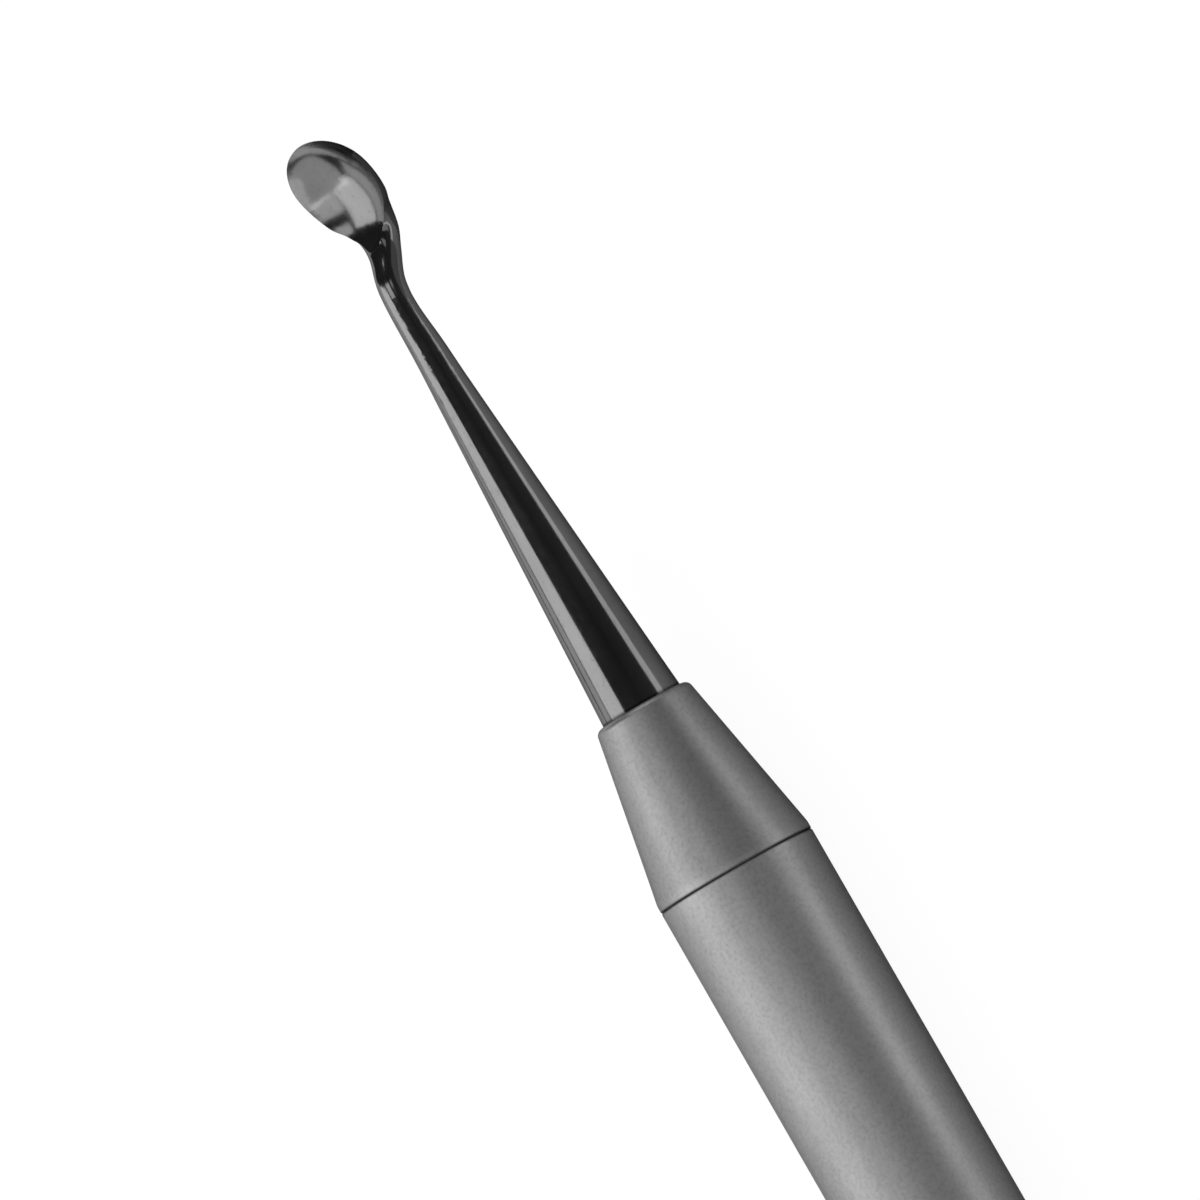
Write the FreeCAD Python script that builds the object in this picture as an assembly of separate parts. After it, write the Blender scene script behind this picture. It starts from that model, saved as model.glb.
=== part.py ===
import FreeCAD, Part
import math
import os

V = FreeCAD.Vector

# Periosteal elevator: a round hollow handle with a cone at its front, and a polished working end that
# tapers to a thin bent neck and a small spoon blade. Millimetres. +X runs along the handle to the blade
# tip and +Z is the way the hollow of the blade faces. Places along the instrument are measured from the
# seam between the cone and the handle tube, and the finished pieces are moved to the part's origin.

# Handle tube
HANDLE_D = 10.0
TUBE_WALL = 1.0
TUBE_LENGTH = 117.0

# Both ends of the tube: spigots that fit in its bore, and the fine V that the broken edges leave
SPIGOT_LENGTH = 6.0
SPIGOT_GAP = 0.02
SPIGOT_CHAMFER = 0.3
SEAM_BREAK = 0.07

# Cap that closes the butt
CAP_LENGTH = 4.0
CAP_CHAMFER = 0.6

# Front cone
CONE_LENGTH = 11.0
CONE_LAND = 0.5
CONE_SHOULDER_R = 1.5
NOSE_D = 6.1
NOSE_EDGE_R = 0.45

# Root of the working end, whose shoulder seats on the nose, and its tang in the cone
ROOT_D = 5.1
TANG_D = 3.6
TANG_LENGTH = 8.0
TANG_END_GAP = 0.5
TANG_GAP = 0.02
TANG_CHAMFER = 0.3

# Shank: a long straight taper that leans a little to the side that the blade faces
SHANK_LEAN = 1.8
SHANK_TAPER_LENGTH = 21.5
SHANK_END_D = 2.34
SHANK_LENGTH = 27.6
NECK_D = 1.74
SKIN_STEP = 0.006

# Neck: it dips from the shank line to the heel of the blade
NECK_RUN = 3.9
NECK_DROP = 1.6
HEEL_DEPTH = 2.3
HEEL_WIDTH = 2.72

# Blade: an oval spoon, widest a little behind its middle, whose rim rises towards the tip
BLADE_FRONT = 3.12
BLADE_BACK = 3.7
BLADE_HALF_WIDTH = 2.6
BACK_FULLNESS = 2.06
FRONT_POINT = 1.06
BACK_DEPTH = 1.9
HEEL_TOP = 1.6
RIM_TILT = 25.5
BLADE_REACH = 46.0
RIM_HEIGHT = 0.83

# Hollow of the blade
BOWL_BACK = 2.8
BOWL_DEPTH = 0.85
BOWL_LIFT = 2.6

# Serration: fine grooves straight across the outer edge, from beside the tip along one side
GROOVE_PITCH = 0.11
GROOVE_DEPTH = 0.05
GROOVE_WIDTH = 0.09
GROOVE_COUNT = 19
GROOVE_FROM_TIP = 0.08
GROOVE_SIDE_START = 0.3
GROOVE_BELOW_RIM = 1.1

# Points round one section of the working end, and sections along each stretch of it
RING_POINTS = 8
TIP_SECTIONS = 5

TUBE_BORE_D = HANDLE_D - 2 * TUBE_WALL
SPIGOT_D = TUBE_BORE_D - 2 * SPIGOT_GAP


def rounded_outline(corners):
    """Closed wire through (along, radius) corners, each with a round of its own where a third value is given."""
    count = len(corners)
    points = [V(c[0], 0, c[1]) for c in corners]
    pieces = []
    for k, corner in enumerate(corners):
        here = points[k]
        before = (points[k - 1] - here).normalize()
        after = (points[(k + 1) % count] - here).normalize()
        if len(corner) == 2:
            pieces.append((here, None, here))
            continue
        half = before.getAngle(after) / 2
        reach = corner[2] / math.tan(half)
        middle = here + (before + after).normalize() * (corner[2] / math.sin(half) - corner[2])
        pieces.append((here + before * reach, middle, here + after * reach))
    edges = []
    for k, (enter, middle, leave) in enumerate(pieces):
        if middle is not None:
            edges.append(Part.Arc(enter, middle, leave).toShape())
        edges.append(Part.makeLine(leave, pieces[(k + 1) % count][0]))
    return Part.Wire(edges)


def turned(corners):
    """Turns an outline about the handle axis."""
    return Part.Face(rounded_outline(corners)).revolve(V(0, 0, 0), V(1, 0, 0), 360)


def handle_tube():
    """Straight tube with a broken outer edge at each end."""
    r = HANDLE_D / 2
    bore = TUBE_BORE_D / 2
    return turned([
        (-TUBE_LENGTH, bore),
        (-TUBE_LENGTH, r - SEAM_BREAK),
        (-TUBE_LENGTH + SEAM_BREAK, r),
        (-SEAM_BREAK, r),
        (0, r - SEAM_BREAK),
        (0, bore),
    ])


def front_cone():
    """Nose cone with its land, its spigot in the tube, and the blind bore that holds the tang."""
    r = HANDLE_D / 2
    bore = TANG_D / 2 + TANG_GAP
    floor = CONE_LENGTH - TANG_LENGTH - TANG_END_GAP
    return turned([
        (-SPIGOT_LENGTH, 0),
        (-SPIGOT_LENGTH, SPIGOT_D / 2 - SPIGOT_CHAMFER),
        (-SPIGOT_LENGTH + SPIGOT_CHAMFER, SPIGOT_D / 2),
        (0, SPIGOT_D / 2),
        (0, r - SEAM_BREAK),
        (SEAM_BREAK, r),
        (CONE_LAND, r, CONE_SHOULDER_R),
        (CONE_LENGTH, NOSE_D / 2, NOSE_EDGE_R),
        (CONE_LENGTH, bore),
        (floor, bore),
        (floor, 0),
    ])


def end_cap():
    """Plain plug with a broken edge at the butt and a spigot in the tube."""
    r = HANDLE_D / 2
    seat = -TUBE_LENGTH
    return turned([
        (seat + SPIGOT_LENGTH, 0),
        (seat + SPIGOT_LENGTH, SPIGOT_D / 2 - SPIGOT_CHAMFER),
        (seat + SPIGOT_LENGTH - SPIGOT_CHAMFER, SPIGOT_D / 2),
        (seat, SPIGOT_D / 2),
        (seat, r - SEAM_BREAK),
        (seat - SEAM_BREAK, r),
        (seat - CAP_LENGTH + CAP_CHAMFER, r),
        (seat - CAP_LENGTH, r - CAP_CHAMFER),
        (seat - CAP_LENGTH, 0),
    ])


def unit_ring():
    """Poles of a smooth closed curve round a circle of radius 1, from its top."""
    points = []
    for k in range(RING_POINTS):
        turn = 2 * math.pi * k / RING_POINTS
        points.append(V(0, math.sin(turn), math.cos(turn)))
    curve = Part.BSplineCurve()
    curve.interpolate(Points=points, PeriodicFlag=True)
    return curve


def ring_points(section, circle):
    """Poles of one oval section (centre, tilt, half width, half height)."""
    centre, tilt, half_width, half_height = section
    up = V(-math.sin(tilt), 0, math.cos(tilt))
    return [centre + V(0, half_width * pole.y, 0) + up * (half_height * pole.z) for pole in circle.getPoles()]


def skin(sections, before, parted):
    """Solid through oval sections down to a point, smooth with the one before and in stretches parted at some."""
    circle = unit_ring()
    rings = [ring_points(section, circle) for section in sections]
    places = [0.0]
    for k in range(1, len(sections)):
        step = (sections[k][0] - sections[k - 1][0]).Length
        places.append(places[-1] + math.hypot(step, sections[k][2] - sections[k - 1][2]))
    lines = []
    for k in range(len(rings[0])):
        line = Part.BSplineCurve()
        points = [ring[k] for ring in rings]
        slope = (points[0] - ring_points(before, circle)[k]) * (1 / (sections[0][0] - before[0]).Length)
        line.interpolate(Points=points, Parameters=places, Tangents=[slope] * len(points),
                         TangentFlags=[True] + [False] * (len(points) - 1))
        lines.append(line)
    surface = Part.BSplineSurface()
    surface.buildFromPolesMultsKnots(
        [line.getPoles() for line in lines],
        circle.getMultiplicities(), lines[0].getMultiplicities(),
        circle.getKnots(), lines[0].getKnots(),
        True, False, circle.Degree, lines[0].Degree)
    stops = [places[k] for k in [0] + parted + [len(places) - 1]]
    faces = []
    for begin, end in zip(stops[:-1], stops[1:]):
        stretch = surface.copy()
        stretch.segment(circle.FirstParameter, circle.LastParameter, begin, end)
        faces.append(stretch.toShape())
    first = min(faces[0].Edges, key=lambda edge: edge.CenterOfMass.distanceToPoint(sections[0][0]))
    shell = Part.makeShell(faces + [Part.Face(Part.Wire(first))])
    shell.sewShape()
    solid = Part.makeSolid(shell)
    solid.fix(1e-5, 1e-5, 1e-3)
    return solid


def ease(x, start, end):
    """Height of a smooth curve between two (place, height, slope) ends."""
    x0, z0, s0 = start
    x1, z1, s1 = end
    run = x1 - x0
    t = (x - x0) / run
    return ((2 * t ** 3 - 3 * t ** 2 + 1) * z0 + (t ** 3 - 2 * t ** 2 + t) * run * s0
            + (3 * t ** 2 - 2 * t ** 3) * z1 + (t ** 3 - t ** 2) * run * s1)


SHANK_START = CONE_LENGTH
LEAN = math.radians(SHANK_LEAN)
SHANK_ALONG = V(math.cos(LEAN), 0, math.sin(LEAN))
TILT = math.radians(RIM_TILT)
RIM_ALONG = V(math.cos(TILT), 0, math.sin(TILT))
BLADE_CENTRE = V(BLADE_REACH, 0, RIM_HEIGHT)


def shank_section(along, diameter):
    """Round section of the shank at one place from its root."""
    return (V(SHANK_START, 0, 0) + SHANK_ALONG * along, LEAN, diameter / 2, diameter / 2)


def shank():
    """Long straight taper, with a lid square to the handle at its root."""
    root = 2.0
    slope = (SHANK_END_D - ROOT_D) / SHANK_TAPER_LENGTH
    cone = Part.makeCone((ROOT_D - root * slope) / 2, SHANK_END_D / 2, SHANK_TAPER_LENGTH + root,
                         V(SHANK_START, 0, 0) - SHANK_ALONG * root, SHANK_ALONG)
    behind = Part.makeBox(2 * root, 2 * ROOT_D, 2 * ROOT_D, V(SHANK_START - 2 * root, -ROOT_D, -ROOT_D))
    return cone.cut(behind)


def shank_end_rings():
    """Sections of the slimmer end of the shank, where the taper runs out."""
    middle = (SHANK_TAPER_LENGTH + SHANK_LENGTH) / 2
    return [
        shank_section(SHANK_TAPER_LENGTH, SHANK_END_D - SKIN_STEP),
        shank_section(middle, 0.58 * NECK_D + 0.42 * SHANK_END_D),
        shank_section(SHANK_LENGTH, NECK_D),
    ]


def neck_rings():
    """Sections of the neck, which dips to the heel of the blade."""
    top = SHANK_ALONG * SHANK_LENGTH + V(SHANK_START, 0, 0)
    start = (top.x, top.z, math.tan(LEAN))
    end = (top.x + NECK_RUN, top.z - NECK_DROP, 0)
    rings = []
    for share in (0.25, 0.5, 0.75, 1.0):
        x = top.x + NECK_RUN * share
        z = ease(x, start, end)
        slope = (ease(x + 0.01, start, end) - ease(x - 0.01, start, end)) / 0.02
        width = NECK_D + (HEEL_WIDTH - NECK_D) * share ** 3
        depth = NECK_D + (HEEL_DEPTH - NECK_D) * share ** 3
        rings.append((V(x, 0, z), 0, width / 2, depth / 2 * math.sqrt(1 + slope ** 2)))
    return rings


def blade_rings():
    """Oval sections square to the rim, from the heel of the blade to close before its tip."""
    rings = []
    normal = V(-RIM_ALONG.z, 0, RIM_ALONG.x)
    for share, sunk in ((0.8, 1.0), (0.62, 0.35), (0.42, 0.1), (0.2, 0.0), (0.0, 0.0)):
        width = BLADE_HALF_WIDTH * (1 - share ** BACK_FULLNESS) ** (1 / BACK_FULLNESS)
        top = BACK_DEPTH + (HEEL_TOP - BACK_DEPTH) * sunk
        centre = BLADE_CENTRE - RIM_ALONG * BLADE_BACK * share + normal * ((top - BACK_DEPTH) / 2)
        rings.append((centre, TILT, width, (top + BACK_DEPTH) / 2))
    for k in range(1, TIP_SECTIONS + 1):
        turn = math.radians(86) * k / TIP_SECTIONS
        u = BLADE_FRONT * math.sin(turn)
        rings.append((BLADE_CENTRE + RIM_ALONG * u, TILT,
                      BLADE_HALF_WIDTH * math.cos(turn) ** FRONT_POINT, BACK_DEPTH * math.cos(turn)))
    return rings


def blade_form():
    """Slim end of the shank, neck and the full egg of the blade, in one skin that closes at the tip."""
    tip = (BLADE_CENTRE + RIM_ALONG * BLADE_FRONT, TILT, 0, 0)
    end, neck = shank_end_rings(), neck_rings()
    parted = [1, len(end) - 1, len(end) + len(neck) - 1]
    return skin(end + neck + blade_rings() + [tip], shank_section(0, ROOT_D), parted)


def bowl_cutter():
    """Egg-shaped cutter whose side meets the outer form along the rim."""
    flare = math.sqrt(1 - (BOWL_LIFT / (BOWL_DEPTH + BOWL_LIFT)) ** 2)
    halves = []
    for length, side in ((BLADE_FRONT, 1), (BOWL_BACK, -1)):
        half = Part.makeSphere(1, V(0, 0, 0), V(side, 0, 0), 0, 90, 360)
        scale = FreeCAD.Matrix()
        scale.scale(length / flare, BLADE_HALF_WIDTH / flare, BOWL_DEPTH + BOWL_LIFT)
        halves.append(half.transformGeometry(scale))
    egg = halves[0].fuse(halves[1])
    egg.rotate(V(0, 0, 0), V(0, -1, 0), RIM_TILT)
    lift = V(-RIM_ALONG.z, 0, RIM_ALONG.x) * BOWL_LIFT
    egg.translate(BLADE_CENTRE + lift)
    return egg


def groove_cutter(form, x):
    """V-shaped strip round the section of the blade at one place, kept to the side with the serration."""
    section = form.slice(V(1, 0, 0), x)[0]
    edge = section.Edges[0]
    start = edge.valueAt(edge.FirstParameter)
    middle = section.BoundBox.Center
    outward = (start - V(x, middle.y, middle.z)).normalize()
    rise = GROOVE_DEPTH
    half = GROOVE_WIDTH / 2 * (GROOVE_DEPTH + rise) / GROOVE_DEPTH
    corners = [
        start - outward * GROOVE_DEPTH,
        start + outward * rise + V(half, 0, 0),
        start + outward * rise - V(half, 0, 0),
    ]
    profile = Part.makePolygon(corners + corners[:1])
    return section.makePipeShell([profile], True, True)


def serration(form):
    """All the grooves, cut off beside the tip and below the rim."""
    tip_x = BLADE_CENTRE.x + RIM_ALONG.x * BLADE_FRONT
    reach = GROOVE_FROM_TIP + GROOVE_COUNT * GROOVE_PITCH
    side = Part.makeBox(reach + 1, BLADE_HALF_WIDTH + 1, 2 * GROOVE_BELOW_RIM,
                        V(-reach, -BLADE_HALF_WIDTH - 1 - GROOVE_SIDE_START, -GROOVE_BELOW_RIM))
    side.rotate(V(0, 0, 0), V(0, -1, 0), RIM_TILT)
    side.translate(BLADE_CENTRE + RIM_ALONG * BLADE_FRONT)
    cutters = []
    for k in range(GROOVE_COUNT):
        strip = groove_cutter(form, tip_x - GROOVE_FROM_TIP - GROOVE_PITCH * k)
        cutters.append(strip.common(side))
    return Part.makeCompound(cutters)


def working_end():
    """Tang, shank, neck and blade in one piece."""
    tang = turned([
        (CONE_LENGTH - TANG_LENGTH, 0),
        (CONE_LENGTH - TANG_LENGTH, TANG_D / 2 - TANG_CHAMFER),
        (CONE_LENGTH - TANG_LENGTH + TANG_CHAMFER, TANG_D / 2),
        (CONE_LENGTH, TANG_D / 2),
        (CONE_LENGTH, 0),
    ])
    form = blade_form()
    blade = form.cut(bowl_cutter()).cut(serration(form))
    return blade.fuse([shank(), tang]).Solids[0]


def main():
    os.makedirs("parts", exist_ok=True)
    pieces = {
        "handle_tube": handle_tube(),
        "front_cone": front_cone(),
        "end_cap": end_cap(),
        "working_end": working_end(),
    }
    front = pieces["working_end"].optimalBoundingBox(False, False).XMax
    butt = -TUBE_LENGTH - CAP_LENGTH
    for name, piece in pieces.items():
        piece.translate(V(-(front + butt) / 2, 0, HANDLE_D / 2))
        print(name, piece.isValid(), piece.ShapeType, len(piece.Solids), len(piece.Faces),
              "volume %.2f" % piece.Volume, "box", piece.BoundBox)
        piece.exportStep("parts/" + name + ".step")


main()
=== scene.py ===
import math

import bpy
from mathutils import Matrix, Vector


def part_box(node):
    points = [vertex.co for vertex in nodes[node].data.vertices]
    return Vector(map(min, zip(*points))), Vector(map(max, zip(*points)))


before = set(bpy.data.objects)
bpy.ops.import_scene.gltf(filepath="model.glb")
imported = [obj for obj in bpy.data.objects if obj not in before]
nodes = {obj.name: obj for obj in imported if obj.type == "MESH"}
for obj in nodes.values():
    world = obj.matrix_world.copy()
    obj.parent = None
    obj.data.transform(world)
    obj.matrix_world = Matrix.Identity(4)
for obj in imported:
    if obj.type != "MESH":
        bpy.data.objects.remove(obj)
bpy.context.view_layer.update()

# Places along the handle axis, in metres, taken from the frame itself
SEAM_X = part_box("handle_tube")[1].x
BUTT_SEAM_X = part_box("handle_tube")[0].x
NOSE_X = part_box("front_cone")[1].x
TIP_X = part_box("working_end")[1].x
BLADE_LENGTH = 0.0065
BLADE_START_X = TIP_X - BLADE_LENGTH
BLADE_FADE = 0.0015
AXIS_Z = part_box("handle_tube")[1].z / 2

# The photograph's view: from in front and above, with the tip turned a little away
VIEW_ELEVATION = math.radians(55)
VIEW_TURN = math.radians(3.6)
AXIS_IN_PICTURE = math.radians(29.88)
PICTURE_WIDTH = 0.0694
PICTURE_CENTRE = Vector((0.05358, -0.00079, 0.00445))
CAMERA_DISTANCE = 1.0
SENSOR = 36.0

# Brightness of the floor and of the room, which together make the white ground and the dark reflections
FLOOR_SIZE = 30.0
FLOOR_ALBEDO = 0.15
FLOOR_TO_CAMERA = 0.95
FLOOR_IN_METAL = 0.05
ROOM_HALF = 1.9
ROOM_TOP = 1.9
ROOM_ALBEDO = 0.28
ROOM_GLOW = 0.012

# Cards that lie on the floor: front edge of two of them, half length, and height over the floor
CARD_FRONT_X = TIP_X - 0.008
CARD_HALF = 0.8
CARD_Z = 0.0002

# Core and outer edge of the painted shade line at a seam and at the nose
SEAM_LINE = (0.00005, 0.00016)
NOSE_LINE = (0.00004, 0.00022)


# Small helpers for node trees

def grey(level):
    return (level, level, level, 1)


def add_node(tree, kind, values=None, **settings):
    """New node with its settings and with the values of its sockets."""
    made = tree.nodes.new(kind)
    for name, value in settings.items():
        setattr(made, name, value)
    for name, value in (values or {}).items():
        if isinstance(value, bpy.types.NodeSocket):
            tree.links.new(value, made.inputs[name])
        else:
            made.inputs[name].default_value = value
    return made


def math_node(tree, operation, first, second=0.0, clamp=False):
    return add_node(tree, "ShaderNodeMath", {0: first, 1: second}, operation=operation,
                    use_clamp=clamp).outputs[0]


def spread(tree, value, low, high, to_low, to_high):
    """Maps a value from one range to another, held at the ends."""
    return add_node(tree, "ShaderNodeMapRange", {
        "Value": value, "From Min": low, "From Max": high, "To Min": to_low, "To Max": to_high,
    }).outputs["Result"]


def noise(tree, place, scale, detail=2.0, rough=0.5, stretch=(1, 1, 1)):
    """Grey noise of one size, in object space, drawn out by stretch."""
    drawn = add_node(tree, "ShaderNodeMapping", {"Vector": place, "Scale": stretch}).outputs["Vector"]
    return add_node(tree, "ShaderNodeTexNoise", {
        "Vector": drawn, "Scale": scale, "Detail": detail, "Roughness": rough,
    }).outputs["Fac"]


def colours(tree, value, stops):
    """Colour ramp through (place, grey or colour) stops."""
    ramp = add_node(tree, "ShaderNodeValToRGB", {"Fac": value})
    while len(ramp.color_ramp.elements) < len(stops):
        ramp.color_ramp.elements.new(1.0)
    for element, (place, colour) in zip(ramp.color_ramp.elements, stops):
        element.position = place
        element.color = (*colour, 1.0)
    return ramp.outputs["Color"]


def mixed(tree, share, first, second, blend="MIX"):
    """Blend of two colours."""
    made = tree.nodes.new("ShaderNodeMix")
    made.data_type = "RGBA"
    made.blend_type = blend
    for socket, value in ((made.inputs[0], share), (made.inputs[6], first), (made.inputs[7], second)):
        if isinstance(value, bpy.types.NodeSocket):
            tree.links.new(value, socket)
        else:
            socket.default_value = value
    return made.outputs[2]


def new_material(name, metallic, edge):
    """Metal with its tint at grazing angles, its shader, and the place on the piece."""
    made = bpy.data.materials.new(name)
    made.use_nodes = True
    tree = made.node_tree
    tree.nodes.clear()
    shader = add_node(tree, "ShaderNodeBsdfPrincipled", {"Metallic": metallic, "Specular Tint": grey(edge)})
    out = add_node(tree, "ShaderNodeOutputMaterial")
    tree.links.new(shader.outputs[0], out.inputs[0])
    place = add_node(tree, "ShaderNodeTexCoord").outputs["Object"]
    return made, tree, shader, place


def near(tree, along, where, core, edge):
    """1 at one place along the axis, falling to 0 between core and edge metres from it."""
    off = math_node(tree, "ABSOLUTE", math_node(tree, "SUBTRACT", along, where))
    return spread(tree, off, core, edge, 1.0, 0.0)


# Metals

def satin_steel():
    """Fine blasted steel of the handle, with soft rub marks and painted shade darkening its seams."""
    made, tree, shader, place = new_material("satin_steel", 0.85, 0.05)
    along = add_node(tree, "ShaderNodeSeparateXYZ", {"Vector": place}).outputs["X"]
    grain = noise(tree, place, 7000.0, 2.0, 0.6)
    speckle = noise(tree, place, 4200.0, 3.0, 0.6)
    cloud = noise(tree, place, 160.0, 3.0, 0.55, (0.5, 1, 1))
    rubbed = noise(tree, place, 900.0, 2.0, 0.5, (0.06, 1, 1))
    tint = colours(tree, cloud, [(0.30, (0.59, 0.59, 0.595)), (0.70, (0.66, 0.66, 0.665))])
    fleck = colours(tree, speckle, [(0.30, (0.86, 0.86, 0.86)), (0.5, (1, 1, 1)),
                                    (0.72, (1.09, 1.09, 1.09))])
    tint = mixed(tree, 1.0, tint, fleck, "MULTIPLY")
    # Painted shade: dark lines at the seam with the cone and at the seam with the end cap, for the shade in
    # the grooves between the parts
    seam = near(tree, along, SEAM_X, *SEAM_LINE)
    butt = near(tree, along, BUTT_SEAM_X, *SEAM_LINE)
    seam_shade = math_node(tree, "MULTIPLY", math_node(tree, "MAXIMUM", seam, butt), 0.72)
    tree.links.new(mixed(tree, seam_shade, tint, (0.03, 0.03, 0.03, 1)), shader.inputs["Base Color"])
    rough = spread(tree, math_node(tree, "ADD", math_node(tree, "MULTIPLY", cloud, 0.7),
                                   math_node(tree, "MULTIPLY", rubbed, 0.3)), 0.35, 0.65, 0.47, 0.39)
    tree.links.new(rough, shader.inputs["Roughness"])
    height = math_node(tree, "ADD", math_node(tree, "MULTIPLY", grain, 0.5),
                       math_node(tree, "MULTIPLY", speckle, 0.5))
    bump = add_node(tree, "ShaderNodeBump", {"Height": height, "Strength": 0.35, "Distance": 0.00003})
    tree.links.new(bump.outputs[0], shader.inputs["Normal"])
    return made


def polished_steel():
    """Hand-polished steel of the working end: near mirror, with fine lengthwise marks and tiny pits."""
    made, tree, shader, place = new_material("polished_steel", 1.0, 0.35)
    along = add_node(tree, "ShaderNodeSeparateXYZ", {"Vector": place}).outputs["X"]
    lines = noise(tree, place, 5200.0, 3.0, 0.6, (0.03, 1, 1))
    pits = noise(tree, place, 4200.0, 2.0, 0.6, (0.5, 1, 1))
    haze = noise(tree, place, 420.0, 3.0, 0.55, (0.35, 1, 1))
    tint = colours(tree, haze, [(0.30, (0.33, 0.33, 0.335)), (0.70, (0.40, 0.40, 0.405))])
    fleck = colours(tree, pits, [(0.25, (0.86, 0.86, 0.86)), (0.40, (1, 1, 1)),
                                 (1.0, (1.04, 1.04, 1.04))])
    tint = mixed(tree, 1.0, tint, fleck, "MULTIPLY")
    # Painted shade: a dark line where the shank meets the cone, for the shade in the gap between the parts
    nose_shade = near(tree, along, NOSE_X, *NOSE_LINE)
    tree.links.new(mixed(tree, math_node(tree, "MULTIPLY", nose_shade, 0.8), tint, (0.02, 0.02, 0.02, 1)),
                   shader.inputs["Base Color"])
    ground = spread(tree, along, BLADE_START_X, BLADE_START_X + BLADE_FADE, 0.0, 0.05)
    rough = math_node(tree, "ADD", spread(tree, haze, 0.3, 0.7, 0.10, 0.15),
                      spread(tree, pits, 0.25, 0.5, 0.05, 0.0))
    rough = math_node(tree, "ADD", rough, ground)
    tree.links.new(rough, shader.inputs["Roughness"])
    height = math_node(tree, "ADD", math_node(tree, "MULTIPLY", lines, 0.8),
                       math_node(tree, "MULTIPLY", pits, 0.2))
    bump = add_node(tree, "ShaderNodeBump", {"Height": height, "Strength": 0.10, "Distance": 0.00002})
    tree.links.new(bump.outputs[0], shader.inputs["Normal"])
    return made


def dress(name, material):
    piece = nodes[name]
    piece.data.materials.clear()
    piece.data.materials.append(material)


satin = satin_steel()
for name in ("handle_tube", "front_cone", "end_cap"):
    dress(name, satin)
dress("working_end", polished_steel())


# Floor, dark room, cards and world

def plane(name, size, height):
    made = bpy.data.meshes.new(name)
    half = size / 2
    corners = [(-half, -half, height), (half, -half, height), (half, half, height), (-half, half, height)]
    made.from_pydata(corners, [], [(0, 1, 2, 3)])
    piece = bpy.data.objects.new(name, made)
    bpy.context.scene.collection.objects.link(piece)
    return piece


def white_for(tree, camera, glossy):
    """Strength of the white that camera rays and mirror rays see."""
    ray = add_node(tree, "ShaderNodeLightPath").outputs
    shown = math_node(tree, "MAXIMUM", ray["Is Glossy Ray"], ray["Is Transmission Ray"])
    return math_node(tree, "ADD", math_node(tree, "MULTIPLY", ray["Is Camera Ray"], camera),
                     math_node(tree, "MULTIPLY", shown, glossy))


def floor_material():
    """Pale floor: white to the camera, paler where it is lit, so the shadow of the object stays on it."""
    made = bpy.data.materials.new("pale_floor")
    made.use_nodes = True
    tree = made.node_tree
    tree.nodes.clear()
    lit = add_node(tree, "ShaderNodeBsdfDiffuse", {"Color": grey(FLOOR_ALBEDO)})
    shown = white_for(tree, FLOOR_TO_CAMERA, FLOOR_IN_METAL)
    glow = add_node(tree, "ShaderNodeEmission", {"Strength": shown})
    both = add_node(tree, "ShaderNodeAddShader", {0: lit.outputs[0], 1: glow.outputs[0]})
    out = add_node(tree, "ShaderNodeOutputMaterial")
    tree.links.new(both.outputs[0], out.inputs[0])
    return made


plane("floor", FLOOR_SIZE, 0.0).data.materials.append(floor_material())


def dark_room():
    """Dark walls and ceiling that the metal mirrors, as in the photograph. The camera looks through them."""
    made = bpy.data.meshes.new("room")
    square = ((-1, -1), (1, -1), (1, 1), (-1, 1))
    corners = [(x * ROOM_HALF, y * ROOM_HALF, z) for z in (-0.01, ROOM_TOP) for x, y in square]
    made.from_pydata(corners, [], [(4, 5, 6, 7), (0, 1, 5, 4), (1, 2, 6, 5), (2, 3, 7, 6), (3, 0, 4, 7)])
    room = bpy.data.objects.new("room", made)
    bpy.context.scene.collection.objects.link(room)
    room.visible_camera = False
    room.visible_shadow = False
    dark = bpy.data.materials.new("dark_wall")
    dark.use_nodes = True
    shader = dark.node_tree.nodes["Principled BSDF"]
    shader.inputs["Base Color"].default_value = grey(ROOM_ALBEDO)
    shader.inputs["Emission Color"].default_value = grey(1.0)
    shader.inputs["Emission Strength"].default_value = ROOM_GLOW
    shader.inputs["Roughness"].default_value = 1.0
    made.materials.append(dark)


dark_room()


def card(name, first_edge, second_edge, front, white, glow):
    """Card that lies on the floor. The camera looks through it, and the metal mirrors it."""
    made = bpy.data.meshes.new(name)
    corners = [(-CARD_HALF, first_edge, CARD_Z), (front, first_edge, CARD_Z),
               (front, second_edge, CARD_Z), (-CARD_HALF, second_edge, CARD_Z)]
    made.from_pydata(corners, [], [(0, 1, 2, 3)])
    lying = bpy.data.objects.new(name, made)
    bpy.context.scene.collection.objects.link(lying)
    lying.visible_camera = False
    lying.visible_shadow = False
    lying.visible_diffuse = False
    paper = bpy.data.materials.new(name)
    paper.use_nodes = True
    shader = paper.node_tree.nodes["Principled BSDF"]
    shader.inputs["Base Color"].default_value = grey(white)
    shader.inputs["Emission Color"].default_value = grey(1.0)
    shader.inputs["Emission Strength"].default_value = glow
    shader.inputs["Roughness"].default_value = 1.0
    made.materials.append(paper)


# Edges across the instrument, front end, whiteness and glow
card("card_front", -0.6, -0.018, CARD_FRONT_X, 0.9, 0.30)
# card_near is greyer and glows less than the other cards: painted shade of the floor beside the instrument,
# as seen in its reflections, on top of the instrument's real shadow that also falls on it
card("card_near", -0.018, 0.002, CARD_FRONT_X, 0.4, 0.06)
card("card_back", 0.002, 0.6, CARD_HALF, 0.95, 0.22)

world = bpy.data.worlds.new("world")
bpy.context.scene.world = world
world.use_nodes = True
world.node_tree.nodes.clear()
sky = add_node(world.node_tree, "ShaderNodeBackground",
               {"Color": (1, 1, 1, 1), "Strength": white_for(world.node_tree, 1.0, 1.0)})
world_out = add_node(world.node_tree, "ShaderNodeOutputWorld")
world.node_tree.links.new(sky.outputs[0], world_out.inputs[0])


# Camera and lamps

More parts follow.
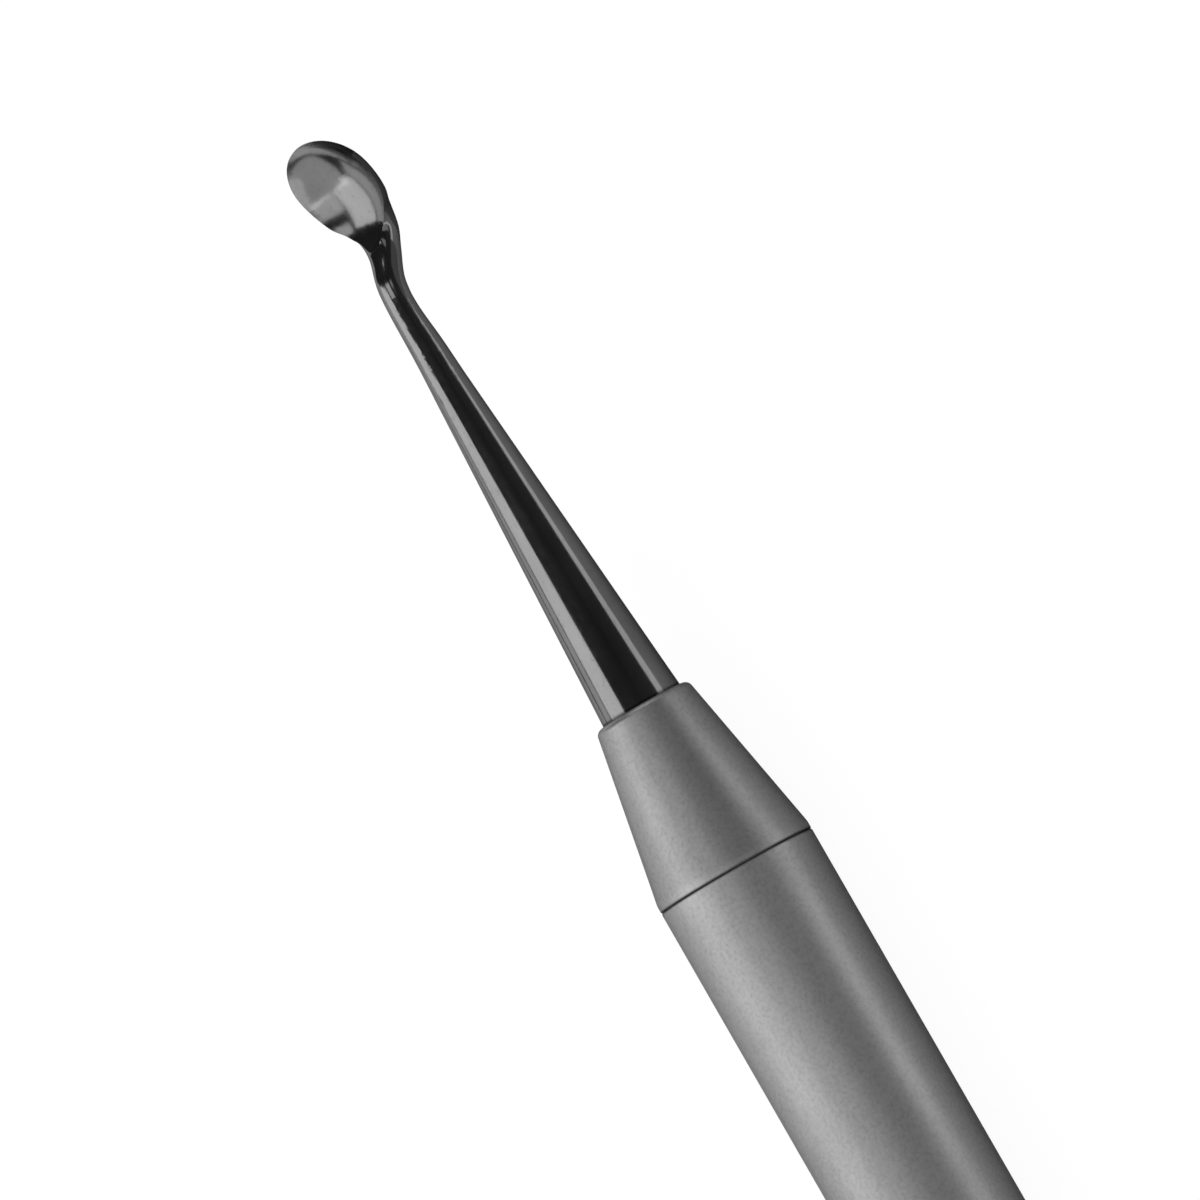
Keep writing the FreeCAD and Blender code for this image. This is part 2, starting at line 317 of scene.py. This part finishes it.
toward_camera = Vector((-math.sin(VIEW_TURN),
                        -math.cos(VIEW_ELEVATION) * math.cos(VIEW_TURN),
                        math.sin(VIEW_ELEVATION) * math.cos(VIEW_TURN)))
across = Vector((0, -math.sin(VIEW_ELEVATION), -math.cos(VIEW_ELEVATION)))
along_axis = toward_camera.cross(across).normalized()
if along_axis.x < 0:
    along_axis = -along_axis
right = across * math.cos(AXIS_IN_PICTURE) - along_axis * math.sin(AXIS_IN_PICTURE)
up = across * math.sin(AXIS_IN_PICTURE) + along_axis * math.cos(AXIS_IN_PICTURE)

camera = bpy.data.objects.new("camera", bpy.data.cameras.new("camera"))
bpy.context.scene.collection.objects.link(camera)
camera.data.sensor_width = SENSOR
camera.data.lens = SENSOR * CAMERA_DISTANCE / PICTURE_WIDTH
camera.data.clip_start = 0.01
camera.data.clip_end = 100.0
turn = Matrix((right, up, toward_camera)).transposed().to_4x4()
camera.matrix_world = Matrix.Translation(PICTURE_CENTRE + toward_camera * CAMERA_DISTANCE) @ turn
bpy.context.scene.camera = camera


LAMP_TARGET = Vector((0.05, 0, AXIS_Z))


def softbox(name, turn_from_view, end_turn, distance, width, length, radiance):
    """Area lamp round the handle axis, turned from the view to the picture's right and then to the tip."""
    turn = math.radians(turn_from_view)
    lean = math.radians(end_turn)
    flat = Vector((0, -math.cos(VIEW_ELEVATION), math.sin(VIEW_ELEVATION)))
    side = (flat * math.cos(turn) + across * math.sin(turn)) * math.cos(lean) + Vector((math.sin(lean), 0, 0))
    data = bpy.data.lights.new(name, "AREA")
    data.shape = "RECTANGLE"
    data.size = length
    data.size_y = width
    data.energy = radiance * 4 * width * length
    lamp = bpy.data.objects.new(name, data)
    bpy.context.scene.collection.objects.link(lamp)
    first = Vector((1, 0, 0)) - side * side.x
    first.normalize()
    second = side.cross(first)
    facing = Matrix((first, second, side)).transposed().to_4x4()
    lamp.matrix_world = Matrix.Translation(LAMP_TARGET + side * distance) @ facing
    lamp.visible_camera = False
    return lamp


# Name, turn from the view, turn to the tip, distance, width, length, brightness
LAMPS = [
    ("key", -72.0, 0.0, 0.9, 0.80, 1.0, 0.78),
    ("back", -110.0, 0.0, 0.9, 0.34, 1.0, 0.45),
    ("panel_butt", -42.0, -54.0, 0.9, 1.6, 0.9, 0.40),
    ("high_butt", -24.0, -16.5, 0.9, 0.70, 0.47, 0.58),
    ("panel_mid", 24.0, -42.0, 0.9, 0.8, 1.1, 0.25),
    ("fill_tip", -26.0, 24.0, 0.9, 0.45, 0.28, 0.55),
    ("low_fill", 10.0, 26.0, 0.9, 0.25, 0.20, 0.24),
    ("end_tip", 14.0, 76.0, 0.9, 0.6, 0.4, 0.8),
]
for lamp in LAMPS:
    softbox(*lamp)

bpy.context.scene.view_settings.view_transform = "Standard"
